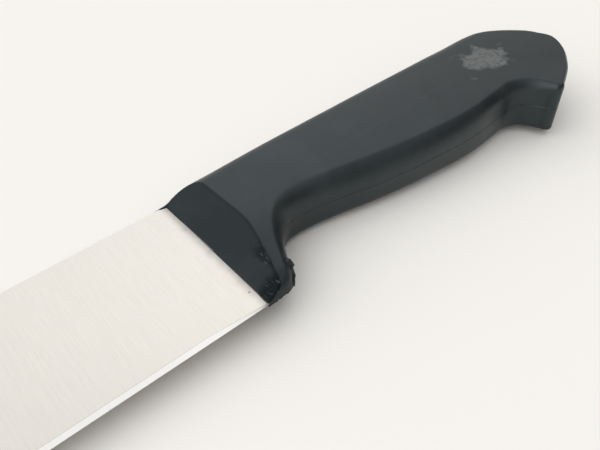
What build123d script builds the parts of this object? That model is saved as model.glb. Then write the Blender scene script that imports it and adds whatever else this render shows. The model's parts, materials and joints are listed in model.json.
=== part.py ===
from build123d import *
import math
import os

# Chef knife with a moulded plastic handle, in millimetres.
# The knife is drawn flat, with X along the blade towards the butt, Y towards the spine and Z through
# the thickness. Its origin is where the front of the handle meets the spine, on the blade's mid-plane.
# lay_down then turns it into the pose in which it lies on a table, and that pose is what is written.

# Blade
BLADE_LENGTH = 200.0
HEEL_DEPTH = 38.4
EDGE_RISE_DEG = 1.35
EDGE_STRAIGHT_END = -70.0
SPINE_STRAIGHT_END = -105.0
TIP_DROP = 15.5
EDGE_BELLY = [(-130.0, -33.8), (-170.0, -26.8)]
SPINE_DROP = [(-156.0, -3.4)]
EDGE_END_DIRECTION = (-1.0, 0.5)
SPINE_END_DIRECTION = (-1.0, -0.36)
STOCK_HALF = 1.15
EDGE_THINNING = 0.0224
TIP_THINNING = 0.0018
BEVEL_WIDTH = 1.3
BEVEL_TIP_SHARES = (1.6, 0.35)
BEVEL_AT_HEEL = 0.3
BEVEL_FULL_AT = -13.0
SPINE_BREAK = 0.2
HEEL_X = 0.6

# Tang, which the plastic hides
TANG_END = 98.0
TANG_TOP = (-4.5, -7.0)
TANG_BOTTOM = (-19.5, -17.0)
TANG_CORNER = 2.5
KEY_HOLE_RADIUS = 3.0
KEY_HOLE_PLACES = [(22.0, -12.0), (52.0, -12.0), (82.0, -12.0)]

# Handle outline
BACK_HEIGHT = 0.5
BACK_END = 108.0
BUTT = [(124.0, -2.7), (134.0, -14.5), (129.4, -26.3)]
BUTT_END = (119.8, -33.6)
BUTT_END_DIRECTION = (-1.0, -0.62)
TOE = (106.0, -38.8)
HOOK_TOP = (105.7, -35.4)
HOLLOW = (98.8, -28.8)
BELLY = [(80.0, -30.9), (62.0, -29.6), (45.5, -26.8)]
BELLY_FRONT = (24.0, -21.6)
BELLY_FRONT_DIRECTION = (-1.0, 0.18)
GUARD_ROOT = (17.2, -23.2)
GUARD_ROOT_DIRECTION = (-0.72, -1.0)
GUARD_BACK = [(12.9, -28.6), (10.0, -34.4)]
GUARD_TIP = (4.6, -39.6)
GUARD_TIP_DIRECTION = (-1.0, -0.25)
GUARD_FRONT_Y = -39.2

# Handle section
HALF_THICKNESS = {-5.0: 6.9, 30.0: 7.0, 60.0: 7.5, 92.0: 8.2, 140.0: 8.3}
BACK_ROUND = 4.5
BELLY_ROUND = 2.6
HOOK_ROUND = 1.0
GUARD_THINNING = (-20.5, 6.85, -36.0, 3.9)
GUARD_END = 17.0
RAMP_FOOT = (0.8, 1.1)
RAMP_DEG = 36.0

# Where the edges to round are told apart
SIDE_EDGE_HEIGHT = 2.5
FRONT_MARGIN = 1.0
MIDDLE_LINE = -12.0
BELLY_EDGES_TOP = -21.2

# How far the cutters and blanks reach past the handle
BLANK_REACH = 60.0
RAMP_RUN = 20.0
GUARD_CUT_LOW = -44.0
GUARD_CUT_FRONT = -5.0
GUARD_CUT_RISE = 4.0

# Pose on the table: the butt end raised, in degrees
REST_PITCH = 1.77


def on_side(x, y):
    """The point of the blade's upper side at x and y."""
    return (x, y, STOCK_HALF + EDGE_THINNING * y + TIP_THINNING * x)


def blade_wire(bevel, bevel_at_heel, place):
    """The blade's outline, set in by the bevel from the cutting edge, with each point put in place."""
    rise = math.tan(math.radians(EDGE_RISE_DEG))
    heel = (HEEL_X, -HEEL_DEPTH + bevel_at_heel)
    full_bevel = (BEVEL_FULL_AT, -HEEL_DEPTH - BEVEL_FULL_AT * rise + bevel)
    straight_end = (EDGE_STRAIGHT_END, -HEEL_DEPTH - EDGE_STRAIGHT_END * rise + bevel)
    belly = [(x, y + bevel) for x, y in EDGE_BELLY]
    tip = (-BLADE_LENGTH + BEVEL_TIP_SHARES[0] * bevel, -TIP_DROP + BEVEL_TIP_SHARES[1] * bevel)
    spine_start = (SPINE_STRAIGHT_END, 0.0)
    spine = Spline(
        [place(*point) for point in [spine_start] + SPINE_DROP + [tip]],
        tangents=[direction(place, (-1.0, 0.0)), direction(place, SPINE_END_DIRECTION)],
    )
    edge = Spline(
        [place(*point) for point in [straight_end] + belly + [tip]],
        tangents=[direction(place, (-1.0, rise)), direction(place, EDGE_END_DIRECTION)],
    )
    top_heel = (HEEL_X, 0.0)
    return Wire(
        [
            Line(place(*top_heel), place(*spine_start)),
            spine,
            edge,
            Line(place(*straight_end), place(*full_bevel)),
            Line(place(*full_bevel), place(*heel)),
            Line(place(*heel), place(*top_heel)),
        ]
    )


def direction(place, step):
    """The step in the plane of the blade's side that place maps to."""
    start = Vector(place(0.0, 0.0))
    return Vector(place(*step)) - start


def on_middle(x, y):
    """The point of the blade's mid-plane at x and y."""
    return (x, y, 0.0)


def blade_half():
    """The blade from its mid-plane to its upper side, ground flat down to a bevelled edge."""
    middle = Face(blade_wire(0.0, 0.0, on_middle))
    side = Face(blade_wire(BEVEL_WIDTH, BEVEL_AT_HEEL, on_side))
    return loft([middle, side], ruled=True)


def tang():
    """The flat tang that the handle is moulded round, with holes that key it to the plastic."""
    outline = Polyline(
        (HEEL_X, TANG_TOP[0]),
        (TANG_END, TANG_TOP[1]),
        (TANG_END, TANG_BOTTOM[1]),
        (HEEL_X, TANG_BOTTOM[0]),
        close=True,
    )
    sketch = make_face(outline)
    ends = sketch.vertices().sort_by(Axis.X)[-2:]
    sketch = fillet(ends, TANG_CORNER)
    for x, y in KEY_HOLE_PLACES:
        sketch -= Pos(x, y) * Circle(KEY_HOLE_RADIUS)
    return extrude(sketch, STOCK_HALF - SPINE_BREAK, both=True)


def blade():
    """The whole stamped blade: both ground sides and the tang."""
    upper = blade_half()
    lower = mirror(upper, about=Plane.XY)
    return upper + lower + tang()


def handle_outline():
    """The side view of the handle, from the front of its back round the butt and belly to the guard."""
    front_top = (HEEL_X, BACK_HEIGHT)
    front_foot = (HEEL_X, GUARD_FRONT_Y)
    back_end = (BACK_END, BACK_HEIGHT)
    return Wire(
        [
            Line(front_top, back_end),
            Spline([back_end] + BUTT + [BUTT_END], tangents=[(1, 0), BUTT_END_DIRECTION]),
            Line(BUTT_END, TOE),
            Line(TOE, HOOK_TOP),
            Spline([HOOK_TOP, HOLLOW], tangents=[(0, 1), (-1, 0)]),
            Spline([HOLLOW] + BELLY + [BELLY_FRONT], tangents=[(-1, 0), BELLY_FRONT_DIRECTION]),
            Spline([BELLY_FRONT, GUARD_ROOT], tangents=[BELLY_FRONT_DIRECTION, GUARD_ROOT_DIRECTION]),
            Spline(
                [GUARD_ROOT] + GUARD_BACK + [GUARD_TIP],
                tangents=[GUARD_ROOT_DIRECTION, GUARD_TIP_DIRECTION],
            ),
            Line(GUARD_TIP, front_foot),
            Line(front_foot, front_top),
        ]
    )


def spreading_sides():
    """All that lies between the handle's two sides, which are flat across and spread towards the butt."""
    upper = Spline([(x, half) for x, half in HALF_THICKNESS.items()])
    lower = mirror(upper, about=Plane.XZ)
    ends = [Line(upper @ 0, lower @ 0), Line(upper @ 1, lower @ 1)]
    plan = make_face([upper, lower] + ends)
    return extrude(Plane.XZ * plan, BLANK_REACH, both=True)


def handle_blank():
    """The handle before its edges are rounded: its side view, cut off at the two sides."""
    side_view = extrude(Face(handle_outline()), BLANK_REACH, both=True)
    return side_view & spreading_sides()


def ramp_cutter():
    """What is cut from above and below the blade to leave the handle's sloping front."""
    foot_x, foot_z = RAMP_FOOT
    top_z = foot_z + RAMP_RUN * math.tan(math.radians(RAMP_DEG))
    profile = Polyline(
        (foot_x - RAMP_RUN, foot_z),
        (foot_x, foot_z),
        (foot_x + RAMP_RUN, top_z),
        (foot_x - RAMP_RUN, top_z),
        close=True,
    )
    wedge = extrude(Plane.XZ * make_face(profile), BLANK_REACH, both=True)
    return wedge + mirror(wedge, about=Plane.XY)


def guard_cutter():
    """What is cut from both sides of the guard, which thins towards its tip."""
    start_y, start_z, end_y, end_z = GUARD_THINNING
    slope = (start_z - end_z) / (start_y - end_y)
    low_z = start_z - slope * (start_y - GUARD_CUT_LOW)
    profile = Polyline(
        (GUARD_CUT_FRONT, start_y, start_z),
        (GUARD_CUT_FRONT, GUARD_CUT_LOW, low_z),
        (GUARD_CUT_FRONT, GUARD_CUT_LOW, start_z + GUARD_CUT_RISE),
        (GUARD_CUT_FRONT, start_y, start_z + GUARD_CUT_RISE),
        close=True,
    )
    wedge = extrude(make_face(profile), GUARD_END - GUARD_CUT_FRONT, dir=(1, 0, 0))
    return wedge + mirror(wedge, about=Plane.XY)


def round_group(shape, radius, is_in_group):
    """The shape with the long edges of its two sides rounded where their middles are in the group."""
    edges = [
        edge
        for edge in shape.edges()
        if min(abs((edge @ 0).Z), abs((edge @ 1).Z)) > SIDE_EDGE_HEIGHT and is_in_group(edge.center())
    ]
    return fillet(edges, radius)


def is_back(middle):
    """Whether an edge with this middle is along the back or round the butt."""
    return middle.Y > MIDDLE_LINE and middle.X > HEEL_X + FRONT_MARGIN


def is_hook(middle):
    """Whether an edge with this middle is on the hook under the butt."""
    return middle.X > HOLLOW[0] and middle.Y < HOLLOW[1]


def is_belly(middle):
    """Whether an edge with this middle is along the belly or behind the guard."""
    return not is_hook(middle) and middle.Y < BELLY_EDGES_TOP and middle.X > GUARD_TIP[0]


def handle():
    """The handle, moulded in one shot round the tang and up to the heel of the blade."""
    rounded = round_group(handle_blank(), BACK_ROUND, is_back)
    rounded = round_group(rounded, BELLY_ROUND, is_belly)
    rounded = round_group(rounded, HOOK_ROUND, is_hook)
    return rounded - guard_cutter() - ramp_cutter() - blade()


def lay_down(shape):
    """The shape turned from its drawing position into the pose in which the knife lies on a table."""
    return Rot(0, -REST_PITCH, 0) * shape


def main():
    os.makedirs("parts", exist_ok=True)
    pieces = {"blade": lay_down(blade()), "handle": lay_down(handle())}
    box = Compound(list(pieces.values())).bounding_box()
    middle = box.center()
    to_origin = Pos(-middle.X, -middle.Y, -box.min.Z)
    for name, shape in pieces.items():
        export_step(to_origin * shape, f"parts/{name}.step")
    print("origin moved by", to_origin.position)


main()
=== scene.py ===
"""A chef knife with a black moulded handle, lying on its side on a pale table.

The knife is drawn flat in millimetres: X runs along the blade towards the butt, Y towards the spine and
Z through the thickness, from the point where the front of the handle meets the spine on the mid-plane of
the blade. KnifePose turns a drawn point into the row's frame, in metres, as the knife lies on the table.
"""

import json
import logging
import math
from dataclasses import dataclass
from enum import Enum

import bmesh
import bpy
import numpy as np
from mathutils import Matrix, Vector, noise


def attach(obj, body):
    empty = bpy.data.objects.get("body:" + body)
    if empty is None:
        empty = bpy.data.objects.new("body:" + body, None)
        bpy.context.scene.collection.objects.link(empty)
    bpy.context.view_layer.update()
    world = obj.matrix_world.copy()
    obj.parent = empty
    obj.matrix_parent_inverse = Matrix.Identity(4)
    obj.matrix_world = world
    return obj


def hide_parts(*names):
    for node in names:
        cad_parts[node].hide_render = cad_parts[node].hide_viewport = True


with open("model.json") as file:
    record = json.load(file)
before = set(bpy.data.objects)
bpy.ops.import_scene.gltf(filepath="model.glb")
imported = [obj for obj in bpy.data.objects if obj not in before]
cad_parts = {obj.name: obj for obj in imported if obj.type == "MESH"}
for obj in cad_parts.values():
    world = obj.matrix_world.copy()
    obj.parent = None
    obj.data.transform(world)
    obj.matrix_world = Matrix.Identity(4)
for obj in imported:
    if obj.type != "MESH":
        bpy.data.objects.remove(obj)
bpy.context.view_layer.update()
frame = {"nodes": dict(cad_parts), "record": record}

LOG = logging.getLogger("chef_knife")
MM = 0.001
BODY = "root"

# Stands in for a length of nothing, so that nothing is divided by it.
TINY = 1e-12

# Most of a noise texture lies between these values.
NOISE_SPAN = (0.2, 0.8)

Point = tuple[float, float]
Triple = tuple[float, float, float]
Station = tuple[float, float, float, float]
Colour = tuple[float, float, float, float]
Socket = bpy.types.NodeSocket


def smooth_step(low: float, high: float, value: np.ndarray | float) -> np.ndarray:
    """Rise smoothly from 0 to 1 as a value passes from low to high.

    Args:
        low: Where the rise starts; it may be above high, for a fall.
        high: Where the rise ends.
        value: The value or values.

    Returns:
        The rise, from 0 to 1, for each value.
    """
    share = np.clip((np.asarray(value, float) - low) / (high - low), 0.0, 1.0)
    return share * share * (3.0 - 2.0 * share)


def smooth_most(first: np.ndarray, second: np.ndarray, width: float) -> np.ndarray:
    """Take the larger of two values, rounded off where they cross.

    Args:
        first: One value or values.
        second: The other.
        width: How far either side of the crossing the rounding reaches.

    Returns:
        The larger values.
    """
    gap = np.maximum(width - np.abs(first - second), 0.0) / width
    return np.maximum(first, second) + gap * gap * width * 0.25


def smooth_loop(stations: tuple[Station, ...], spacing: float, cuts: int = 24) -> np.ndarray:
    """Run a smooth closed curve through stations, with evenly spaced samples.

    Args:
        stations: Points that the curve passes through in order, each with the values it carries.
        spacing: The distance between samples.
        cuts: How many short lines stand for each stretch while its length is measured.

    Returns:
        One row for each sample: its place, then the carried values, which change evenly between stations.
    """
    given = np.array(stations, float)
    looped = np.vstack([given[-1:], given, given[:2]])
    share = np.linspace(0.0, 1.0, cuts, endpoint=False)[:, None]
    cubic, square = share**3, share**2
    runs = []
    for index in range(1, len(looped) - 2):
        before, start, end, after = looped[index - 1 : index + 3, :2]
        length = np.linalg.norm(end - start)
        place = (
            (2 * cubic - 3 * square + 1) * start
            + (cubic - 2 * square + share) * hermite_slope(before, start, end) * length
            + (3 * square - 2 * cubic) * end
            + (cubic - square) * hermite_slope(start, end, after) * length
        )
        carried = (1 - share) * looped[index, 2:] + share * looped[index + 1, 2:]
        runs.append(np.hstack([place, carried]))
    dense = np.vstack(runs + [runs[0][:1]])
    steps = np.linalg.norm(np.diff(dense[:, :2], axis=0), axis=1)
    travelled = np.r_[0.0, np.cumsum(steps)]
    wanted = np.arange(0.0, travelled[-1], spacing)
    return np.stack([np.interp(wanted, travelled, column) for column in dense.T], 1)


def hermite_slope(before: np.ndarray, here: np.ndarray, after: np.ndarray) -> np.ndarray:
    """Find the unit direction of a smooth curve at a point from its two neighbours.

    Args:
        before: The point before.
        here: The point itself.
        after: The point after.

    Returns:
        The direction, weighted towards the nearer neighbour.
    """
    back, ahead = here - before, after - here
    back_length = max(np.linalg.norm(back), TINY)
    ahead_length = max(np.linalg.norm(ahead), TINY)
    slope = back / back_length * ahead_length + ahead / ahead_length * back_length
    return slope / max(np.linalg.norm(slope), TINY)


def rough(points: np.ndarray, scale: float, octaves: int = 3, shift: float = 0.0) -> np.ndarray:
    """Read a fixed fractal noise at points.

    Args:
        points: Places in the drawing, in millimetres, one row each.
        scale: How many millimetres one feature of the noise is across.
        octaves: How many finer layers it holds.
        shift: A distance through the noise, for an unlike pattern.

    Returns:
        One value for each point, about -1 to 1.
    """
    return np.array(
        [
            noise.fractal(Vector(point) / scale + Vector((shift, shift, shift)), 1.0, 2.0, octaves)
            for point in points
        ]
    )


@dataclass(frozen=True)
class KnifePose:
    """How the knife lies: its butt raised a little, on the tip of the blade and the front of the handle."""

    pitch_deg: float = 1.77
    slot_mount: str = "block_slot"
    slot_point: Triple = (0.6, -19.0, 0.0)

    def rotation(self) -> Matrix:
        """Return the turn from the drawing to the table."""
        return Matrix.Rotation(math.radians(-self.pitch_deg), 3, "Y")

    def offset(self) -> Vector:
        """Return where the drawing's origin lies in the row's frame, in metres."""
        mount = next(m for m in frame["record"]["mounts"] if m["name"] == self.slot_mount)
        return Vector(mount["pos_m"]) - self.rotation() @ (Vector(self.slot_point) * MM)

    def place(self, x: float, y: float, z: float) -> Vector:
        """Return the row's point, in metres, of a point of the drawing, in millimetres."""
        return self.rotation() @ (Vector((x, y, z)) * MM) + self.offset()

    def place_all(self, points: np.ndarray) -> np.ndarray:
        """Return the row's points, in metres, of rows of drawn points, in millimetres."""
        turn = np.array(self.rotation())
        return (points * MM) @ turn.T + np.array(self.offset())


class NodeBench:
    """Places shader nodes in a tree, in rows, and joins them in few words."""

    ROW = 8
    SPACING = (220.0, -260.0)

    def __init__(self, tree: bpy.types.NodeTree) -> None:
        """Keep the tree that the nodes go in.

        Args:
            tree: A material's, world's or group's node tree.
        """
        self.tree = tree
        self.count = 0

    def add(self, kind: str, settings: dict | None = None, **inputs: object) -> bpy.types.Node:
        """Add a node, set its properties, and set or join its inputs.

        Args:
            kind: The node's type name in Blender.
            settings: Values for the node's own properties.
            inputs: A value or an output socket for each input, by name with _ for a space.

        Returns:
            The node.
        """
        node = self.tree.nodes.new(kind)
        line, column = divmod(self.count, self.ROW)
        node.location = (self.SPACING[0] * column, self.SPACING[1] * line)
        self.count += 1
        for name, value in (settings or {}).items():
            setattr(node, name, value)
        for name, value in inputs.items():
            self.feed(node.inputs[name.replace("_", " ")], value)
        return node

    def feed(self, socket: Socket, value: object) -> None:
        """Join an output to a socket, or set the socket's own value.

        Args:
            socket: The input socket.
            value: An output socket, or a value of the input's kind.
        """
        if isinstance(value, Socket):
            self.tree.links.new(value, socket)
        else:
            socket.default_value = value

    def math(self, operation: str, first: object, second: object = 0.0) -> Socket:
        """Add a math node on two values.

        Args:
            operation: The operation's name in Blender.
            first: A value or socket.
            second: Another, which some operations leave unused.

        Returns:
            The output socket.
        """
        node = self.add("ShaderNodeMath", {"operation": operation})
        self.feed(node.inputs[0], first)
        self.feed(node.inputs[1], second)
        return node.outputs[0]

    def plus(self, value: object, mask: object, amount: float) -> Socket:
        """Add an amount of a mask to a value and return the output."""
        return self.math("ADD", value, self.math("MULTIPLY", mask, amount))

    def swing(self, mask: object, amount: object) -> Socket:
        """Centre a mask of 0 to 1 on 0, scale it by an amount and return the output."""
        return self.math("MULTIPLY", self.math("SUBTRACT", mask, 0.5), amount)

    def remap(
        self, value: object, low: float, high: float, start: float = 0.0, end: float = 1.0
    ) -> Socket:
        """Add a smooth map range node and return its output.

        Args:
            value: The value or socket to map.
            low: The value that maps to start.
            high: The value that maps to end.
            start: The result at low.
            end: The result at high.

        Returns:
            The output socket.
        """
        node = self.add(
            "ShaderNodeMapRange",
            {"interpolation_type": "SMOOTHSTEP"},
            Value=value, From_Min=low, From_Max=high, To_Min=start, To_Max=end,
        )
        return node.outputs[0]

    def stretch(self, vector: Socket, scale: Triple) -> Socket:
        """Scale a vector along its axes.

        Args:
            vector: The vector's socket.
            scale: The factor along each axis.

        Returns:
            The scaled vector's socket.
        """
        node = self.add("ShaderNodeVectorMath", {"operation": "MULTIPLY"}, Vector=vector)
        node.inputs[1].default_value = scale
        return node.outputs[0]

    def noise(self, vector: Socket, scale: float, detail: float = 3.0, warp: float = 0.0) -> Socket:
        """Add a noise texture and return its value.

        Args:
            vector: The coordinates that it reads.
            scale: Features for each unit of those coordinates.
            detail: How many finer layers it holds.
            warp: How much it is distorted.

        Returns:
            The output socket, about 0.2 to 0.8.
        """
        node = self.add(
            "ShaderNodeTexNoise", Vector=vector, Scale=scale, Detail=detail, Distortion=warp
        )
        return node.outputs[0]

    def blend(self, share: object, first: object, second: object) -> Socket:
        """Mix two colours.

        Args:
            share: How much of the second colour there is, from 0 to 1.
            first: A colour or socket.
            second: Another.

        Returns:
            The mixed colour's socket.
        """
        node = self.add("ShaderNodeMix", {"data_type": "RGBA"})
        self.feed(node.inputs[0], share)
        self.feed(node.inputs[6], first)
        self.feed(node.inputs[7], second)
        return node.outputs[2]

    def attribute(self, name: str) -> Socket:
        """Read a mesh attribute's value."""
        return self.add("ShaderNodeAttribute", {"attribute_name": name}).outputs["Fac"]


class Effect(Enum):
    """The surface effects that more than one finish uses, each built once as a node group."""

    SCRATCHES = "fine_scratches"
    SMEARS = "hand_smears"


@dataclass(frozen=True)
class EffectGroups:
    """Builds the shared node groups and places them in materials."""

    scratch_stretch: Triple = (1.0, 0.06, 1.0)
    scratch_width: float = 0.012
    scratch_breaks: float = 0.35
    smear_roughness: float = 0.55
    smear_warp: float = 0.6

    def build(self) -> None:
        """Build every group of Effect."""
        self.build_scratches()
        self.build_smears()

    def start(self, effect: Effect, inputs: dict[str, float]) -> NodeBench:
        """Make an empty group with a vector input, number inputs and a Mask output.

        Args:
            effect: Which effect the group is for.
            inputs: Each number input's name and usual value.

        Returns:
            A bench for the group's tree.
        """
        tree = bpy.data.node_groups.new(effect.value, "ShaderNodeTree")
        tree.interface.new_socket("Vector", in_out="INPUT", socket_type="NodeSocketVector")
        for name, value in inputs.items():
            socket = tree.interface.new_socket(name, in_out="INPUT", socket_type="NodeSocketFloat")
            socket.default_value = value
        tree.interface.new_socket("Mask", in_out="OUTPUT", socket_type="NodeSocketFloat")
        return NodeBench(tree)

    def build_scratches(self) -> None:
        """Build thin bright lines in broken runs, longer along the second axis of the vector."""
        bench = self.start(Effect.SCRATCHES, {"Fineness": 1.0, "Cover": 0.5})
        given = bench.add("NodeGroupInput")
        long_way = bench.stretch(given.outputs["Vector"], self.scratch_stretch)
        lines = bench.add(
            "ShaderNodeTexNoise", Vector=long_way, Scale=given.outputs["Fineness"], Detail=2.0
        )
        ridge = bench.math("ABSOLUTE", bench.math("SUBTRACT", lines.outputs[0], 0.5))
        thin = bench.remap(ridge, self.scratch_width, 0.0)
        broken = bench.noise(given.outputs["Vector"], self.scratch_breaks, 2.0)
        share = bench.math("GREATER_THAN", given.outputs["Cover"], broken)
        mask = bench.math("MULTIPLY", thin, share)
        bench.add("NodeGroupOutput", Mask=mask)

    def build_smears(self) -> None:
        """Build soft uneven patches, like the marks that hands and cloths leave."""
        bench = self.start(Effect.SMEARS, {"Size": 10.0, "Contrast": 0.5})
        given = bench.add("NodeGroupInput")
        scale = bench.math("DIVIDE", 1.0, given.outputs["Size"])
        broad = bench.add(
            "ShaderNodeTexNoise", Vector=given.outputs["Vector"], Scale=scale, Detail=4.0,
            Roughness=self.smear_roughness, Distortion=self.smear_warp,
        )
        spread = bench.swing(broad.outputs[0], given.outputs["Contrast"])
        mask = bench.math("ADD", spread, 0.5)
        bench.add("NodeGroupOutput", Mask=mask)

    def place(self, bench: NodeBench, effect: Effect, **inputs: object) -> Socket:
        """Place a group in a material and return its mask.

        Args:
            bench: The material's bench.
            effect: The group to place.
            inputs: A value or socket for each of the group's inputs.

        Returns:
            The mask's socket.
        """
        node = bench.add("ShaderNodeGroup", {"node_tree": bpy.data.node_groups[effect.value]})
        for name, value in inputs.items():
            bench.feed(node.inputs[name], value)
        return node.outputs["Mask"]


class Finish:
    """A material whose patterns are laid out in the drawing's millimetres."""

    def __init__(self, name: str, pose: KnifePose, effects: EffectGroups) -> None:
        """Start a material with a Principled shader and drawing coordinates.

        Args:
            name: The material's name.
            pose: How the drawing lies in the row's frame.
            effects: The shared node groups.
        """
        self.effects = effects
        self.material = bpy.data.materials.new(name)
        self.material.use_nodes = True
        tree = self.material.node_tree
        tree.nodes.clear()
        self.bench = NodeBench(tree)
        self.surface = self.bench.add("ShaderNodeBsdfPrincipled")
        self.bench.add("ShaderNodeOutputMaterial", Surface=self.surface.outputs[0])
        place = self.bench.add("ShaderNodeTexCoord").outputs["Object"]
        drawing = self.bench.add("ShaderNodeMapping", {"vector_type": "TEXTURE"}, Vector=place)
        drawing.inputs["Location"].default_value = pose.offset()
        drawing.inputs["Rotation"].default_value = pose.rotation().to_euler("XYZ")
        drawing.inputs["Scale"].default_value = (MM, MM, MM)
        self.drawing = drawing.outputs[0]
        split = self.bench.add("ShaderNodeSeparateXYZ", Vector=self.drawing)
        self.along, self.across, self.up = split.outputs

    def set(self, **inputs: object) -> None:
        """Set or join inputs of the Principled shader, by name with _ for a space."""
        for name, value in inputs.items():
            self.bench.feed(self.surface.inputs[name.replace("_", " ")], value)

    def bump(self, height: Socket, depth_mm: float) -> None:
        """Raise the surface by a height of 0 to 1, depth_mm deep.

        Args:
            height: The height's socket.
            depth_mm: How far a height of 1 stands above 0, in millimetres.
        """
        node = self.bench.add("ShaderNodeBump", Height=height, Strength=1.0, Distance=depth_mm * MM)
        self.bench.feed(self.surface.inputs["Normal"], node.outputs[0])


@dataclass(frozen=True)
class SteelFinish:
    """Stainless steel ground across the blade, with a highlight painted on its polished bevel.

    A pitch is how many features of a pattern lie in a millimetre, along, across and through the blade. The
    ground side's plane is its height at the drawing's origin and its rise with y and x. An edge is where a
    mask starts and where it is full, in millimetres.
    """

    base: Colour = (0.690, 0.663, 0.612, 1.0)
    pale: Colour = (0.765, 0.738, 0.686, 1.0)
    # Painted highlight: the polished bevel gets a near-white colour so that it shows as a bright line.
    painted_bevel_highlight: Colour = (0.97, 0.96, 0.93, 1.0)
    # Painted shade: the dark band along the plastic stands for its reflection and shadow on the blade; also
    # the colour of a dark speck.
    painted_shade_and_speck: Colour = (0.17, 0.16, 0.15, 1.0)
    grain_pitch: Triple = (7.0, 0.12, 0.12)
    grain_share: float = 0.6
    grain_depth_mm: float = 0.0014
    streak_pitch: Triple = (1.3, 0.03, 0.1)
    streak_span: Point = (0.3, 0.7)
    roughness: Point = (0.21, 0.28)
    smear_size_mm: float = 22.0
    smear_roughness: float = 0.10
    nick_fineness: float = 1.6
    nick_cover: float = 0.42
    nick_depth: float = 0.5
    side_plane: Triple = (1.15, 0.0224, 0.0018)
    bevel_edge: Point = (0.01, 0.03)
    # Where the painted shade along the plastic starts and is full, how it wavers, how fast it fades and how
    # dark it gets.
    painted_shade_edge: Point = (-2.4, 0.9)
    painted_shade_pitch: float = 0.35
    painted_shade_waver_mm: float = 1.6
    painted_shade_fade: float = 1.8
    painted_shade_strength: float = 0.62
    speck: Triple = (-0.6, -33.5, 0.4)
    speck_edge: Point = (0.42, 0.18)
    speck_strength: float = 0.75

    def make(self, pose: KnifePose, effects: EffectGroups) -> bpy.types.Material:
        """Build the material.

        Args:
            pose: How the drawing lies in the row's frame.
            effects: The shared node groups.

        Returns:
            The material.
        """
        finish = Finish("ground_stainless_steel", pose, effects)
        bench = finish.bench
        fine = bench.noise(bench.stretch(finish.drawing, self.grain_pitch), 1.0, 3.0)
        wide = bench.noise(bench.stretch(finish.drawing, self.streak_pitch), 1.0, 2.0)
        streaks = bench.plus(bench.math("MULTIPLY", fine, self.grain_share), wide, 1.0 - self.grain_share)
        smears = effects.place(
            bench, Effect.SMEARS, Vector=finish.drawing, Size=self.smear_size_mm, Contrast=1.0
        )
        nicks = effects.place(
            bench, Effect.SCRATCHES,
            Vector=finish.drawing, Fineness=self.nick_fineness, Cover=self.nick_cover,
        )
        colour = bench.blend(bench.remap(streaks, *NOISE_SPAN), self.base, self.pale)
        # Painted highlight on the polished bevel.
        colour = bench.blend(self.bevel_highlight(finish), colour, self.painted_bevel_highlight)
        # Painted shade along the plastic, and a dark speck near the heel.
        colour = bench.blend(self.painted_shade_and_speck_mask(finish), colour, self.painted_shade_and_speck)
        roughness = bench.remap(wide, *self.streak_span, *self.roughness)
        roughness = bench.math("ADD", roughness, bench.swing(smears, self.smear_roughness))
        finish.set(Base_Color=colour, Metallic=1.0, Roughness=roughness)
        finish.bump(bench.plus(fine, nicks, -self.nick_depth), self.grain_depth_mm)
        return finish.material

    def bevel_highlight(self, finish: Finish) -> Socket:
        """Build the painted highlight's mask: the polished bevel, below the plane of the blade's ground
        side.

        Args:
            finish: The material.

        Returns:
            The mask's socket.
        """
        bench = finish.bench
        height, rise_across, rise_along = self.side_plane
        rise = bench.plus(bench.math("MULTIPLY", finish.across, rise_across), finish.along, rise_along)
        plane = bench.math("ADD", rise, height)
        below = bench.math("SUBTRACT", plane, bench.math("ABSOLUTE", finish.up))
        return bench.remap(below, *self.bevel_edge)

    def painted_shade_and_speck_mask(self, finish: Finish) -> Socket:
        """Build the mask of painted shade along the plastic and of a dark speck near the heel.

        Args:
            finish: The material.

        Returns:
            The mask's socket.
        """
        bench = finish.bench
        waver = bench.swing(bench.noise(finish.drawing, self.painted_shade_pitch, 3.0), self.painted_shade_waver_mm)
        near = bench.remap(bench.math("ADD", finish.along, waver), *self.painted_shade_edge)
        # Painted shade: darker towards the plastic.
        painted_shade = bench.math("MULTIPLY", bench.math("POWER", near, self.painted_shade_fade), self.painted_shade_strength)
        away = bench.add("ShaderNodeVectorMath", {"operation": "DISTANCE"}, Vector=finish.drawing)
        away.inputs[1].default_value = self.speck
        spot = bench.remap(away.outputs["Value"], *self.speck_edge)
        return bench.math("MAXIMUM", painted_shade, bench.math("MULTIPLY", spot, self.speck_strength))


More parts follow.
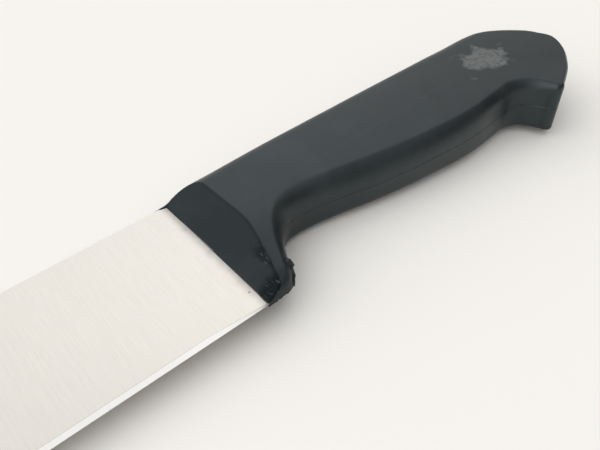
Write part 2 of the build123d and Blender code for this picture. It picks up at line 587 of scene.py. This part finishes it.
@dataclass(frozen=True)
class PlasticFinish:
    """Hard black plastic: satin where hands rub it, dull on the front slope, pale where it is torn.

    A pitch is how many features of a pattern lie in a millimetre. What is named for the slope, the patch
    or the torn plastic is added to the plain value there.
    """

    sheen: Colour = (0.83, 0.97, 1.0, 1.0)
    black: Colour = (0.0035, 0.0052, 0.0066, 1.0)
    rubbed: Colour = (0.0185, 0.0225, 0.0245, 1.0)
    slope: Colour = (0.0045, 0.0068, 0.0082, 1.0)
    worn: Colour = (0.115, 0.117, 0.114, 1.0)
    bruised: Colour = (0.075, 0.08, 0.088, 1.0)
    smear_size_mm: float = 20.0
    smear_contrast: float = 3.0
    roughness: Point = (0.36, 0.46)
    slope_roughness: float = 0.16
    patch_roughness: float = 0.14
    torn_roughness: float = 0.15
    gloss: float = 0.5
    slope_gloss: float = -0.20
    torn_gloss: float = -0.18
    patch_centre: Point = (102.8, -15.5)
    patch_reach: Point = (10.0, 7.0)
    patch_edge: Point = (1.02, 0.62)
    patch_pitch: float = 0.22
    patch_waver: float = 2.2
    patch_lowest_z: float = 2.0
    mottle_pitch: float = 0.9
    mottle_warp: float = 0.5
    mottle_span: Point = (0.36, 0.58)
    mottle_share: Point = (0.45, 1.0)
    scuff_pitch: Triple = (0.9, 0.35, 0.7)
    scuff_warp: float = 0.8
    scuff_width: float = 0.022
    scuff_breaks: float = 0.7
    scuff_span: Point = (0.48, 0.6)
    relief_mm: float = 0.05
    grain_pitch: float = 3.2
    grain_depth: float = 0.16
    slope_grain: float = 0.25
    patch_grain: float = 0.5
    torn_pitch: float = 1.1
    torn_depth: float = 3.0
    scratch_turn: float = 1.35
    scratch_fineness: float = 0.9
    scratch_cover: float = 0.44
    scratch_depth: float = 0.12

    def make(self, pose: KnifePose, effects: EffectGroups) -> bpy.types.Material:
        """Build the material.

        Args:
            pose: How the drawing lies in the row's frame.
            effects: The shared node groups.

        Returns:
            The material.
        """
        finish = Finish("moulded_black_plastic", pose, effects)
        bench = finish.bench
        smears = effects.place(
            bench, Effect.SMEARS,
            Vector=finish.drawing, Size=self.smear_size_mm, Contrast=self.smear_contrast,
        )
        slope, torn = bench.attribute("slope"), bench.attribute("torn")
        patch = self.patch(finish)
        colour = bench.blend(smears, self.black, self.rubbed)
        colour = bench.blend(slope, colour, self.slope)
        colour = bench.blend(patch, colour, self.worn)
        colour = bench.blend(self.scuffs(finish, torn), colour, self.bruised)
        roughness = bench.remap(smears, *NOISE_SPAN, *self.roughness)
        roughness = bench.plus(roughness, slope, self.slope_roughness)
        roughness = bench.plus(roughness, patch, self.patch_roughness)
        roughness = bench.plus(roughness, torn, self.torn_roughness)
        gloss = bench.plus(bench.plus(self.gloss, slope, self.slope_gloss), torn, self.torn_gloss)
        finish.set(Base_Color=colour, Roughness=roughness, IOR=1.5)
        finish.set(Specular_Tint=self.sheen, Specular_IOR_Level=gloss)
        finish.bump(self.texture(finish, slope, patch, torn), self.relief_mm)
        return finish.material

    def patch(self, finish: Finish) -> Socket:
        """Build the mask of the rubbed patch near the butt, ragged and mottled, on the upper side only.

        Args:
            finish: The material.

        Returns:
            The mask's socket.
        """
        bench = finish.bench
        squares = []
        for place, centre, reach in zip((finish.along, finish.across), self.patch_centre, self.patch_reach):
            share = bench.math("DIVIDE", bench.math("SUBTRACT", place, centre), reach)
            squares.append(bench.math("MULTIPLY", share, share))
        radius = bench.math("SQRT", bench.math("ADD", *squares))
        waver = bench.swing(bench.noise(finish.drawing, self.patch_pitch, 3.0), self.patch_waver)
        inside = bench.remap(bench.math("ADD", radius, waver), *self.patch_edge)
        spots = bench.noise(finish.drawing, self.mottle_pitch, 4.0, self.mottle_warp)
        mottle = bench.remap(spots, *self.mottle_span, *self.mottle_share)
        upper = bench.math("GREATER_THAN", finish.up, self.patch_lowest_z)
        return bench.math("MULTIPLY", bench.math("MULTIPLY", inside, mottle), upper)

    def scuffs(self, finish: Finish, torn: Socket) -> Socket:
        """Build the mask of pale bruised lines on the torn guard and the frayed edge.

        Args:
            finish: The material.
            torn: The mask of the torn plastic.

        Returns:
            The mask's socket.
        """
        bench = finish.bench
        lines = bench.noise(bench.stretch(finish.drawing, self.scuff_pitch), 1.0, 2.0, self.scuff_warp)
        ridge = bench.math("ABSOLUTE", bench.math("SUBTRACT", lines, 0.5))
        broken = bench.remap(bench.noise(finish.drawing, self.scuff_breaks, 2.0), *self.scuff_span)
        thin = bench.math("MULTIPLY", bench.remap(ridge, self.scuff_width, 0.0), broken)
        return bench.math("MULTIPLY", thin, torn)

    def texture(self, finish: Finish, slope: Socket, patch: Socket, torn: Socket) -> Socket:
        """Build the fine relief: spark grain, more on the slope and patch, and scratches along the grip.

        Args:
            finish: The material.
            slope: The mask of the front slope.
            patch: The mask of the rubbed patch.
            torn: The mask of the torn plastic.

        Returns:
            The height's socket.
        """
        bench = finish.bench
        depth = bench.plus(bench.plus(self.grain_depth, slope, self.slope_grain), patch, self.patch_grain)
        height = bench.math("MULTIPLY", bench.noise(finish.drawing, self.grain_pitch, 3.0), depth)
        lumps = bench.math("MULTIPLY", bench.noise(finish.drawing, self.torn_pitch, 4.0), torn)
        height = bench.plus(height, lumps, self.torn_depth)
        turned = bench.add(
            "ShaderNodeVectorRotate", {"rotation_type": "Z_AXIS"},
            Vector=finish.drawing, Angle=self.scratch_turn,
        )
        scratches = finish.effects.place(
            bench, Effect.SCRATCHES,
            Vector=turned.outputs[0], Fineness=self.scratch_fineness, Cover=self.scratch_cover,
        )
        return bench.plus(height, scratches, -self.scratch_depth)


@dataclass(frozen=True)
class Sliver:
    """A thin tapering scrap of plastic that stands off the handle, in the drawing's millimetres."""

    root: Triple
    tip: Triple
    thick_root: float
    thick_tip: float


@dataclass(frozen=True)
class HandleShape:
    """The sizes of the moulded handle, in the drawing's millimetres.

    A station of the outline is its place in the side view, how far the edges are rounded there, and how far
    the wall draws in from the mid-plane to the side. Stations run from the front of the guard's tip along
    the belly, round the hook and the butt, and back along the top. Values that a share fades over are the
    place where it is 0 and the place where it is 1.
    """

    outline: tuple[Station, ...] = (
        (-3.2, -37.0, 1.4, 0.2), (-3.0, -38.3, 1.4, 0.2), (0.6, -38.6, 1.4, 0.2), (3.4, -38.7, 1.5, 0.2),
        (5.4, -38.4, 1.8, 0.2), (7.0, -37.6, 2.2, 0.2), (8.2, -36.4, 3.0, 0.2), (9.4, -34.6, 4.0, 0.2),
        (12.7, -28.9, 5.4, 0.2), (15.6, -25.3, 5.8, 0.2), (18.2, -23.5, 6.0, 0.2), (21.0, -23.1, 6.2, 0.2),
        (24.5, -23.25, 6.5, 0.25), (32.0, -24.65, 7.2, 0.3), (45.5, -27.75, 7.8, 0.3),
        (62.0, -30.2, 7.3, 0.3), (80.0, -31.3, 6.8, 0.3), (90.0, -30.5, 6.2, 0.3), (97.0, -30.0, 5.2, 0.2),
        (100.4, -31.2, 4.4, 0.2), (102.6, -33.4, 3.6, 0.1), (103.9, -35.9, 2.9, 0.0),
        (104.7, -38.2, 2.2, 0.0), (105.9, -39.0, 2.0, 0.0),
        (109.0, -37.9, 2.0, 0.0), (113.5, -36.0, 2.4, 0.0), (118.5, -33.8, 3.2, 0.0),
        (122.8, -31.4, 4.0, 0.0), (127.0, -28.3, 4.4, 0.0), (130.4, -24.4, 4.8, 0.0),
        (132.5, -19.8, 5.0, 0.0), (132.8, -15.8, 5.2, 0.0), (131.5, -12.2, 5.2, 0.0),
        (128.6, -8.4, 5.2, 0.0), (124.6, -4.7, 5.0, 0.0), (120.6, -2.0, 4.8, 0.0), (116.8, -0.4, 4.8, 0.0),
        (112.0, 0.2, 4.8, 0.0), (100.0, 0.2, 5.0, 0.0), (60.0, 0.4, 4.6, 0.0), (30.0, 0.45, 4.8, 0.0),
        (14.0, 0.45, 5.8, 0.0), (0.6, 0.38, 6.4, 0.0), (-3.0, 0.36, 6.4, 0.0), (-3.2, -1.5, 6.4, 0.0),
    )
    outline_spacing: float = 0.5
    belly_fade: Point = (-16.0, -22.0)
    upper_cut_deg: float = 38.0
    lower_rounding: float = 0.33
    side_softness: float = 0.16
    half: tuple[Point, ...] = ((0.0, 6.85), (30.0, 6.95), (60.0, 7.4), (92.0, 8.12), (134.0, 8.22))
    crown_y: float = -12.0
    crown_radius: float = 290.0
    crown_most: float = 0.7
    guard_half: float = 6.64
    guard_thinning: Triple = (-22.3, 1.6, 0.215)
    guard_fade: Point = (10.0, 26.0)
    tear_place: Point = (-38.3, -0.6)
    tear_slope: float = -1.13
    tear_end: float = 14.0
    tear_end_slope: float = 3.0
    tear_softness: float = 0.5
    front_x: float = 0.58
    front_bow_top: float = 0.42
    front_bow_top_fade: Point = (-8.0, 0.5)
    front_bow_foot: float = 0.12
    front_bow_foot_fade: Point = (-28.0, -39.0)
    front_softness: float = 0.12
    ramp_foot: Point = (0.8, 1.1)
    ramp_deg: float = 36.0
    ramp_softness: float = 0.22
    ramp_fade: Point = (-0.45, -0.2)
    torn_tip_fade: Point = (-33.8, -36.4)
    torn_edge_fade: Point = (-25.5, -30.0)
    torn_edge_height_fade: Point = (3.4, 4.4)
    torn_edge_reach: Point = (1.1, 0.3)
    torn_edge_share: float = 0.75
    torn_back_fade: Point = (12.0, 9.0)
    fray_from: Point = (12.5, -24.0)
    fray_broad: Point = (2.6, 0.7)
    fray_fine: Point = (0.8, 0.35)
    fray_fine_stretch: Triple = (1.0, 0.6, 1.0)
    fray_fine_shift: float = 7.0
    fray_proud: float = 0.2
    groove_radius: float = 0.14
    sliver_softness: float = 0.25
    slivers: tuple[Sliver, ...] = (
        Sliver((1.2, -0.25, 1.0), (-1.85, 0.08, 0.8), 0.55, 0.3),
        Sliver((9.2, -34.2, 2.6), (9.9, -35.0, 1.8), 0.8, 0.3),
        Sliver((9.0, -35.0, 1.6), (9.4, -35.5, -0.6), 0.6, 0.45),
        Sliver((9.1, -35.5, -0.4), (8.3, -36.6, -1.7), 0.55, 0.4),
        Sliver((8.0, -36.6, -1.4), (5.6, -37.9, -1.0), 0.45, 0.25),
        Sliver((4.6, -37.6, 1.4), (6.7, -37.3, 2.3), 0.3, 0.2),
        Sliver((3.0, -38.0, 1.4), (4.6, -38.3, 2.0), 0.3, 0.16),
    )

    def over_ramp(self, x: np.ndarray, height: np.ndarray) -> np.ndarray:
        """Find how far places lie over the sloping front.

        Args:
            x: The places along the knife.
            height: How far each is from the mid-plane.

        Returns:
            The distance from the slope, below 0 inside the plastic.
        """
        slant = math.radians(self.ramp_deg)
        foot_x, foot_z = self.ramp_foot
        return (height - foot_z) * math.cos(slant) - (x - foot_x) * math.sin(slant)

    def slope_share(self, points: np.ndarray) -> np.ndarray:
        """Find how far places in the drawing belong to the sloping front, from 0 to 1."""
        return smooth_step(*self.ramp_fade, self.over_ramp(points[:, 0], np.abs(points[:, 2])))

    def torn_share(self, points: np.ndarray) -> np.ndarray:
        """Find how far places belong to the torn plastic: the guard's tip and the upper edge of the slope.

        Args:
            points: Places in the drawing, one row each.

        Returns:
            The share of each, from 0 to 1.
        """
        x, y, height = points[:, 0], points[:, 1], np.abs(points[:, 2])
        foot_x, foot_z = self.ramp_foot
        slope_x = foot_x + (height - foot_z) / math.tan(math.radians(self.ramp_deg))
        edge = smooth_step(*self.torn_edge_fade, y) * smooth_step(*self.torn_edge_height_fade, height)
        edge = self.torn_edge_share * edge * smooth_step(*self.torn_edge_reach, np.abs(x - slope_x))
        tip = smooth_step(*self.torn_tip_fade, y)
        return np.maximum(tip, edge) * smooth_step(*self.torn_back_fade, x)


class Outline:
    """The handle's outline in the side view, with the rounding that each stretch of it carries."""

    CHUNK = 3000

    def __init__(self, shape: HandleShape) -> None:
        """Run the curve through the shape's stations.

        Args:
            shape: The handle's sizes.
        """
        self.samples = smooth_loop(shape.outline, shape.outline_spacing)

    def measure(self, points: np.ndarray) -> tuple[np.ndarray, np.ndarray, np.ndarray]:
        """Measure how deep points lie inside the outline.

        Args:
            points: Places in the side view, one row each.

        Returns:
            The depth inside, below 0 outside, then the rounding and the draw of the nearest stretch.
        """
        parts = [self.measure_chunk(points[i : i + self.CHUNK]) for i in range(0, len(points), self.CHUNK)]
        depth, rounding, draw = (np.concatenate(column) for column in zip(*parts))
        return depth, rounding, draw

    def measure_chunk(self, points: np.ndarray) -> tuple[np.ndarray, np.ndarray, np.ndarray]:
        """Measure a few points against every stretch of the outline.

        Args:
            points: Places in the side view, one row each.

        Returns:
            What measure returns, for these points.
        """
        starts = self.samples[:, :2]
        steps = np.roll(starts, -1, axis=0) - starts
        offset = points[:, None] - starts[None]
        share = np.clip((offset * steps).sum(2) / (steps * steps).sum(1), 0.0, 1.0)
        away = offset - share[..., None] * steps
        square = (away * away).sum(2)
        nearest = square.argmin(1)
        rows = np.arange(len(points))
        ends = starts + steps
        spans = (starts[:, 1] > points[:, 1:2]) != (ends[:, 1] > points[:, 1:2])
        rise = np.where(np.abs(steps[:, 1]) < TINY, TINY, steps[:, 1])
        crossing = starts[:, 0] + (points[:, 1:2] - starts[:, 1]) / rise * steps[:, 0]
        inside = (spans & (points[:, :1] < crossing)).sum(1) % 2 == 1
        depth = np.sqrt(square[rows, nearest]) * np.where(inside, 1.0, -1.0)
        return depth, self.samples[nearest, 2], self.samples[nearest, 3]


@dataclass(frozen=True)
class Grid:
    """The places at which the handle's solid is sampled, finer at the guard and the parting line."""

    span_x: Point = (-2.2, 134.8)
    fine_end: float = 13.0
    fine_x: float = 0.2
    coarse_x: float = 0.45
    span_y: Point = (-40.3, 1.2)
    step_y: float = 0.26
    fine_levels: int = 6
    fine_z: float = 0.11
    coarse_z: float = 0.3
    last_z: float = 8.9

    def axes(self) -> tuple[np.ndarray, np.ndarray, np.ndarray]:
        """Lay out the samples.

        Returns:
            The sampled x, y and z, in the drawing's millimetres.
        """
        first_x, last_x = self.span_x
        fine_along = np.arange(first_x, self.fine_end, self.fine_x)
        coarse_along = np.arange(self.fine_end + self.fine_x, last_x, self.coarse_x)
        across = np.arange(*self.span_y, self.step_y)
        fine_up = (np.arange(self.fine_levels) + 0.5) * self.fine_z
        coarse_up = np.arange(fine_up[-1] + self.coarse_z, self.last_z, self.coarse_z)
        up = np.r_[fine_up, coarse_up]
        return np.r_[fine_along, coarse_along], across, np.r_[-up[::-1], up]


class HandleSolid:
    """The handle as a value at each point of a grid: below 0 inside the plastic, above 0 outside."""

    def __init__(self, shape: HandleShape, grid: Grid) -> None:
        """Work out the side view's measures once, for every level of the grid.

        Args:
            shape: The handle's sizes.
            grid: Where the solid is sampled.
        """
        self.shape = shape
        self.axes = grid.axes()
        along, across, up = self.axes
        self.x, self.y, self.z = along[:, None, None], across[None, :, None], up[None, None, :]
        self.height = np.abs(self.z)
        flat = np.stack(np.meshgrid(along, across, indexing="ij"), 2).reshape(-1, 2)
        measures = Outline(shape).measure(flat)
        self.depth, self.rounding, self.draw = (m.reshape(len(along), len(across), 1) for m in measures)
        self.half = self.half_thickness(flat).reshape(len(along), len(across), 1)
        self.ragged = self.fray()

    def half_thickness(self, points: np.ndarray) -> np.ndarray:
        """Find half the handle's thickness before its edges are rounded.

        Args:
            points: Places in the side view, one row each.

        Returns:
            Half the thickness at each.
        """
        shape = self.shape
        stations = np.array(shape.half)
        base = np.interp(points[:, 0], stations[:, 0], stations[:, 1])
        crown = (points[:, 1] - shape.crown_y) ** 2 / (2.0 * shape.crown_radius)
        grip = base - np.minimum(crown, shape.crown_most)
        start, softness, slope = shape.guard_thinning
        drop = slope * softness * np.logaddexp(0.0, (start - points[:, 1]) / softness)
        share = smooth_step(*shape.guard_fade, points[:, 0])
        return (shape.guard_half - drop) * (1.0 - share) + grip * share

    def field(self) -> np.ndarray:
        """Shape the handle step by step.

        Returns:
            The value at every point of the grid.
        """
        value = self.cut_tear(self.body())
        value = self.cut_front(value)
        value = self.cut_groove(value)
        for sliver in self.shape.slivers:
            value = self.add_sliver(value, sliver)
        return value

    def body(self) -> np.ndarray:
        """Shape the body between its sides, with a crisp line where the upper side meets its rounding.

        Returns:
            The value at every point of the grid.
        """
        shape, height = self.shape, self.height
        belly = smooth_step(*shape.belly_fade, self.y)
        upper = belly * (self.z > 0.0)
        radius = self.rounding * (1.0 + (shape.lower_rounding - 1.0) * belly * (self.z < 0.0))
        sink = 1.0 + (math.cos(math.radians(shape.upper_cut_deg)) - 1.0) * upper
        side = radius - self.depth + self.draw * np.minimum(height / self.half, 1.0)
        top = height - (self.half - radius * sink)
        corner = np.hypot(np.maximum(side, 0.0), np.maximum(top, 0.0))
        rounded = corner + np.minimum(np.maximum(side, top), 0.0) - radius
        return smooth_most(rounded, height - self.half, shape.side_softness)

    def cut_front(self, value: np.ndarray) -> np.ndarray:
        """Cut the sloping front down to the thin lip that meets the blade, ragged near the guard's tip.

        Args:
            value: The value at every point so far.

        Returns:
            The value with the front cut.
        """
        shape = self.shape
        bow = shape.front_bow_top * smooth_step(*shape.front_bow_top_fade, self.y)
        bow = bow + shape.front_bow_foot * smooth_step(*shape.front_bow_foot_fade, self.y)
        ramp = shape.over_ramp(self.x, self.height) + self.ragged
        cut = smooth_most(value, ramp, shape.ramp_softness)
        return smooth_most(cut, shape.front_x - bow - self.x, shape.front_softness)

    def cut_tear(self, value: np.ndarray) -> np.ndarray:
        """Cut off the underside of the guard's tip, which is torn away.

        Args:
            value: The value at every point so far.

        Returns:
            The value with the tip torn.
        """
        shape = self.shape
        tear_y, tear_z = shape.tear_place
        over = tear_z + shape.tear_slope * (self.y - tear_y) - self.z
        beyond = shape.tear_end_slope * np.maximum(self.x - shape.tear_end, 0.0)
        torn = over / math.hypot(1.0, shape.tear_slope) - beyond + self.ragged
        return smooth_most(value, torn, shape.tear_softness)

    def fray(self) -> np.ndarray:
        """Work out how deep the slope and the tear are eaten away where the guard is torn.

        Returns:
            The depth at every point of the grid.
        """
        shape = self.shape
        along, across, up = self.axes
        result = np.zeros((len(along), len(across), len(up)))
        last_x, last_y = shape.fray_from
        near_x, near_y = np.flatnonzero(along < last_x), np.flatnonzero(across < last_y)
        block = np.ix_(near_x, near_y, np.arange(len(up)))
        mesh = np.meshgrid(along[near_x], across[near_y], up, indexing="ij")
        points = np.stack(mesh, 3).reshape(-1, 3)
        (broad_size, broad_depth), (fine_size, fine_depth) = shape.fray_broad, shape.fray_fine
        broad = rough(points, broad_size, 3)
        fine = rough(points * np.array(shape.fray_fine_stretch), fine_size, 2, shape.fray_fine_shift)
        ragged = np.maximum(broad * broad_depth + fine * fine_depth, -shape.fray_proud)
        ragged = ragged * shape.torn_share(points)
        result[block] = ragged.reshape(len(near_x), len(near_y), len(up))
        return result

    def cut_groove(self, value: np.ndarray) -> np.ndarray:
        """Cut the fine line where the two halves of the mould met.

        Args:
            value: The value at every point so far.

        Returns:
            The value with the line cut.
        """
        groove = self.shape.groove_radius - np.hypot(self.depth, self.z)
        return np.maximum(value, groove)

    def add_sliver(self, value: np.ndarray, sliver: Sliver) -> np.ndarray:
        """Add a tapering scrap of plastic.

        Args:
            value: The value at every point so far.
            sliver: The scrap to add.

        Returns:
            The value with the scrap added.
        """
        root, tip = np.array(sliver.root), np.array(sliver.tip)
        line = tip - root
        offset = (self.x - root[0], self.y - root[1], self.z - root[2])
        share = np.clip(sum(o * c for o, c in zip(offset, line)) / (line @ line), 0.0, 1.0)
        away = np.sqrt(sum((o - share * c) ** 2 for o, c in zip(offset, line)))
        thick = sliver.thick_root + (sliver.thick_tip - sliver.thick_root) * share
        return -smooth_most(-value, thick - away, self.shape.sliver_softness)


class Skin:
    """Turns a sampled solid into a mesh, with one vertex in each cell that its surface crosses."""

    def __init__(self, axes: tuple[np.ndarray, np.ndarray, np.ndarray], field: np.ndarray) -> None:
        """Find the surface's vertices and faces.

        Args:
            axes: The sampled x, y and z.
            field: The value at each sample, below 0 inside.
        """
        self.axes = axes
        self.field_values = field
        cells = tuple(n - 1 for n in field.shape)
        self.total = np.zeros(cells + (3,), np.float64)
        self.count = np.zeros(cells, np.int32)
        self.crossings = [self.find_crossings(axis) for axis in range(3)]
        self.index = np.full(cells, -1, np.int64)
        active = self.count > 0
        self.index[active] = np.arange(int(active.sum()))
        self.vertices = self.total[active] / self.count[active][:, None]
        self.faces = np.vstack([self.join(axis) for axis in range(3)])

    def find_crossings(self, axis: int) -> tuple[np.ndarray, np.ndarray]:
        """Find where grid lines along one axis cross the surface, and share each with its four cells.

        Args:
            axis: The axis of the grid lines.

        Returns:
            The grid places where the crossed lines start, and whether each starts inside.
        """
        values = self.field_values
        low = [slice(None)] * 3
        high = [slice(None)] * 3
        low[axis], high[axis] = slice(None, -1), slice(1, None)
        first, second = values[tuple(low)], values[tuple(high)]
        starts = np.argwhere((first < 0.0) != (second < 0.0))
        at_first, at_second = first[tuple(starts.T)], second[tuple(starts.T)]
        share = at_first / (at_first - at_second)
        place = np.stack([self.axes[k][starts[:, k]] for k in range(3)], 1)
        line = self.axes[axis]
        place[:, axis] += share * (line[starts[:, axis] + 1] - line[starts[:, axis]])
        for cell in self.cells_round(axis, starts):
            np.add.at(self.total, tuple(cell.T), place)
            np.add.at(self.count, tuple(cell.T), 1)
        return starts, at_first < 0.0

    def cells_round(self, axis: int, starts: np.ndarray) -> list[np.ndarray]:
        """List the four cells round each grid line.

        Args:
            axis: The axis of the grid lines.
            starts: The grid places where the lines start.

        Returns:
            The cells' grid places, four sets in turning order.
        """
        others = [k for k in range(3) if k != axis]
        cells = []
        for back_first, back_second in ((1, 1), (0, 1), (0, 0), (1, 0)):
            cell = starts.copy()
            cell[:, others[0]] -= back_first
            cell[:, others[1]] -= back_second
            cells.append(cell)
        return cells

    def join(self, axis: int) -> np.ndarray:
        """Join the vertices of the four cells round each crossed line into a face.

        Args:
            axis: The axis of the grid lines.

        Returns:
            Four vertex numbers for each face, turned so that the face looks outwards.
        """
        starts, inside = self.crossings[axis]
        corners = np.stack([self.index[tuple(cell.T)] for cell in self.cells_round(axis, starts)], 1)
        flipped = inside if axis == 1 else ~inside
        corners[flipped] = corners[flipped][:, ::-1]
        return corners


class Handle:
    """The moulded handle as a mesh that stands for the plain one of the frame."""

    def __init__(self, shape: HandleShape, grid: Grid, pose: KnifePose) -> None:
        """Keep the sizes.

        Args:
            shape: The handle's sizes.
            grid: Where its solid is sampled.
            pose: How the drawing lies in the row's frame.
        """
        self.shape = shape
        self.grid = grid
        self.pose = pose

    def build(self, material: bpy.types.Material) -> bpy.types.Object:
        """Build the handle and have it stand for the CAD node.

        Args:
            material: Its finish.

        Returns:
            The handle's object.
        """
        solid = HandleSolid(self.shape, self.grid)
        skin = Skin(solid.axes, solid.field())
        mesh = bpy.data.meshes.new("moulded_handle")
        mesh.from_pydata(self.pose.place_all(skin.vertices).tolist(), [], skin.faces.tolist())
        mesh.polygons.foreach_set("use_smooth", np.ones(len(mesh.polygons), bool))
        self.mask(mesh, "slope", self.shape.slope_share(skin.vertices))
        self.mask(mesh, "torn", self.shape.torn_share(skin.vertices))
        mesh.materials.append(material)
        mesh.update()
        handle = bpy.data.objects.new("moulded_handle", mesh)
        bpy.context.scene.collection.objects.link(handle)
        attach(handle, BODY)
        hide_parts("handle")
        LOG.info("handle: %d vertices, %d faces", len(mesh.vertices), len(mesh.polygons))
        return handle

    def mask(self, mesh: bpy.types.Mesh, name: str, values: np.ndarray) -> None:
        """Store a value for each vertex, for the material to read."""
        mesh.attributes.new(name, "FLOAT", "POINT").data.foreach_set("value", values.astype(np.float32))


class Blade:
    """The steel blade, whose shape the frame already has."""

    def build(self, material: bpy.types.Material) -> bpy.types.Object:
        """Give the CAD blade its finish.

        Args:
            material: The steel.

        Returns:
            The blade's object.
        """
        blade = frame["nodes"]["blade"]
        blade.data.materials.clear()
        blade.data.materials.append(material)
        LOG.info("blade: %d faces in ground steel", len(blade.data.polygons))
        return blade


@dataclass(frozen=True)
class Table:
    """The pale table top that the knife lies on."""

    reach: float = 3.0
    colour: Colour = (0.872, 0.850, 0.812, 1.0)
    roughness: float = 0.9
    gloss: float = 0.2

    def build(self) -> bpy.types.Object:
        """Build the table top.

        Returns:
            The table's object.
        """
        mesh = bpy.data.meshes.new("table_top")
        shell = bmesh.new()
        bmesh.ops.create_grid(shell, x_segments=1, y_segments=1, size=self.reach)
        shell.to_mesh(mesh)
        shell.free()
        material = bpy.data.materials.new("pale_table")
        material.use_nodes = True
        material.node_tree.nodes.clear()
        bench = NodeBench(material.node_tree)
        surface = bench.add(
            "ShaderNodeBsdfPrincipled",
            Base_Color=self.colour, Roughness=self.roughness, Specular_IOR_Level=self.gloss,
        )
        bench.add("ShaderNodeOutputMaterial", Surface=surface.outputs[0])
        mesh.materials.append(material)
        table = bpy.data.objects.new("table_top", mesh)
        bpy.context.scene.collection.objects.link(table)
        LOG.info("table: reaches %.1f m each way", self.reach)
        return table


@dataclass(frozen=True)
class Glow:
    """A soft patch of light in the room, brightest in one direction.

    It starts where the cosine of the angle from that direction is near, and is full where it is far.
    """

    direction: Triple
    strength: float
    near: float
    far: float


@dataclass(frozen=True)
class Room:
    """The light room round the table, as a world of soft patches."""

    ambient: float = 0.06
    glows: tuple[Glow, ...] = (
        Glow((0.0, 0.0, 1.0), 0.80, 0.3, 1.0),
        Glow((0.36, 0.62, 0.70), 0.10, 0.86, 1.0),
        Glow((-0.195, 0.708, -0.679), 0.10, -0.06, 0.07),
        Glow((0.8, 0.25, 0.55), 0.35, 0.6, 1.0),
        Glow((0.0, 1.0, 0.2), 0.62, 0.4, 1.0),
        Glow((-1.0, 0.0, 0.25), 2.10, 0.4, 1.0),
        Glow((0.0, -1.0, 0.35), 0.10, 0.4, 1.0),
    )

    def build(self) -> None:
        """Build the world."""
        world = bpy.data.worlds.new("light_room")
        world.use_nodes = True
        world.node_tree.nodes.clear()
        bench = NodeBench(world.node_tree)
        ray = bench.add("ShaderNodeTexCoord").outputs["Generated"]
        total = self.ambient
        for glow in self.glows:
            facing = bench.add("ShaderNodeVectorMath", {"operation": "DOT_PRODUCT"}, Vector=ray)
            facing.inputs[1].default_value = Vector(glow.direction).normalized()
            patch = bench.remap(facing.outputs["Value"], glow.near, glow.far, 0.0, glow.strength)
            total = bench.math("ADD", patch, total)
        colour = bench.add("ShaderNodeCombineColor", Red=total, Green=total, Blue=total)
        light = bench.add("ShaderNodeBackground", Color=colour.outputs[0], Strength=1.0)
        bench.add("ShaderNodeOutputWorld", Surface=light.outputs[0])
        bpy.context.scene.world = world
        LOG.info("room: %d patches of light", len(self.glows))


@dataclass(frozen=True)
class Viewpoint:
    """Where the knife is seen from, in the drawing's millimetres."""

    position: Triple = (-39.857, -96.040, 86.114)
    right: Triple = (0.74628, -0.66514, -0.02557)
    up: Triple = (0.46694, 0.49575, 0.73226)
    lens: float = 33.6
    sensor: float = 36.0
    nearest_m: float = 0.005

    def build(self, pose: KnifePose) -> bpy.types.Object:
        """Build the camera.

        Args:
            pose: How the drawing lies in the row's frame.

        Returns:
            The camera's object.
        """
        turn = pose.rotation()
        right, up = (turn @ Vector(axis) for axis in (self.right, self.up))
        turned = Matrix((right, up, right.cross(up))).transposed().to_4x4()
        lens = bpy.data.cameras.new("viewpoint")
        lens.lens = self.lens
        lens.sensor_width = self.sensor
        lens.clip_start = self.nearest_m
        camera = bpy.data.objects.new("viewpoint", lens)
        camera.matrix_world = Matrix.Translation(pose.place(*self.position)) @ turned
        bpy.context.scene.collection.objects.link(camera)
        bpy.context.scene.camera = camera
        LOG.info("viewpoint: %.1f mm lens", self.lens)
        return camera


def main() -> None:
    """Build the knife, the table, the light and the camera."""
    logging.basicConfig(level=logging.INFO)
    pose = KnifePose()
    effects = EffectGroups()
    effects.build()
    steel = SteelFinish().make(pose, effects)
    plastic = PlasticFinish().make(pose, effects)
    Blade().build(steel)
    Handle(HandleShape(), Grid(), pose).build(plastic)
    Table().build()
    Room().build()
    Viewpoint().build(pose)
    bpy.context.scene.view_settings.view_transform = "Standard"


if __name__ == "__main__":
    main()
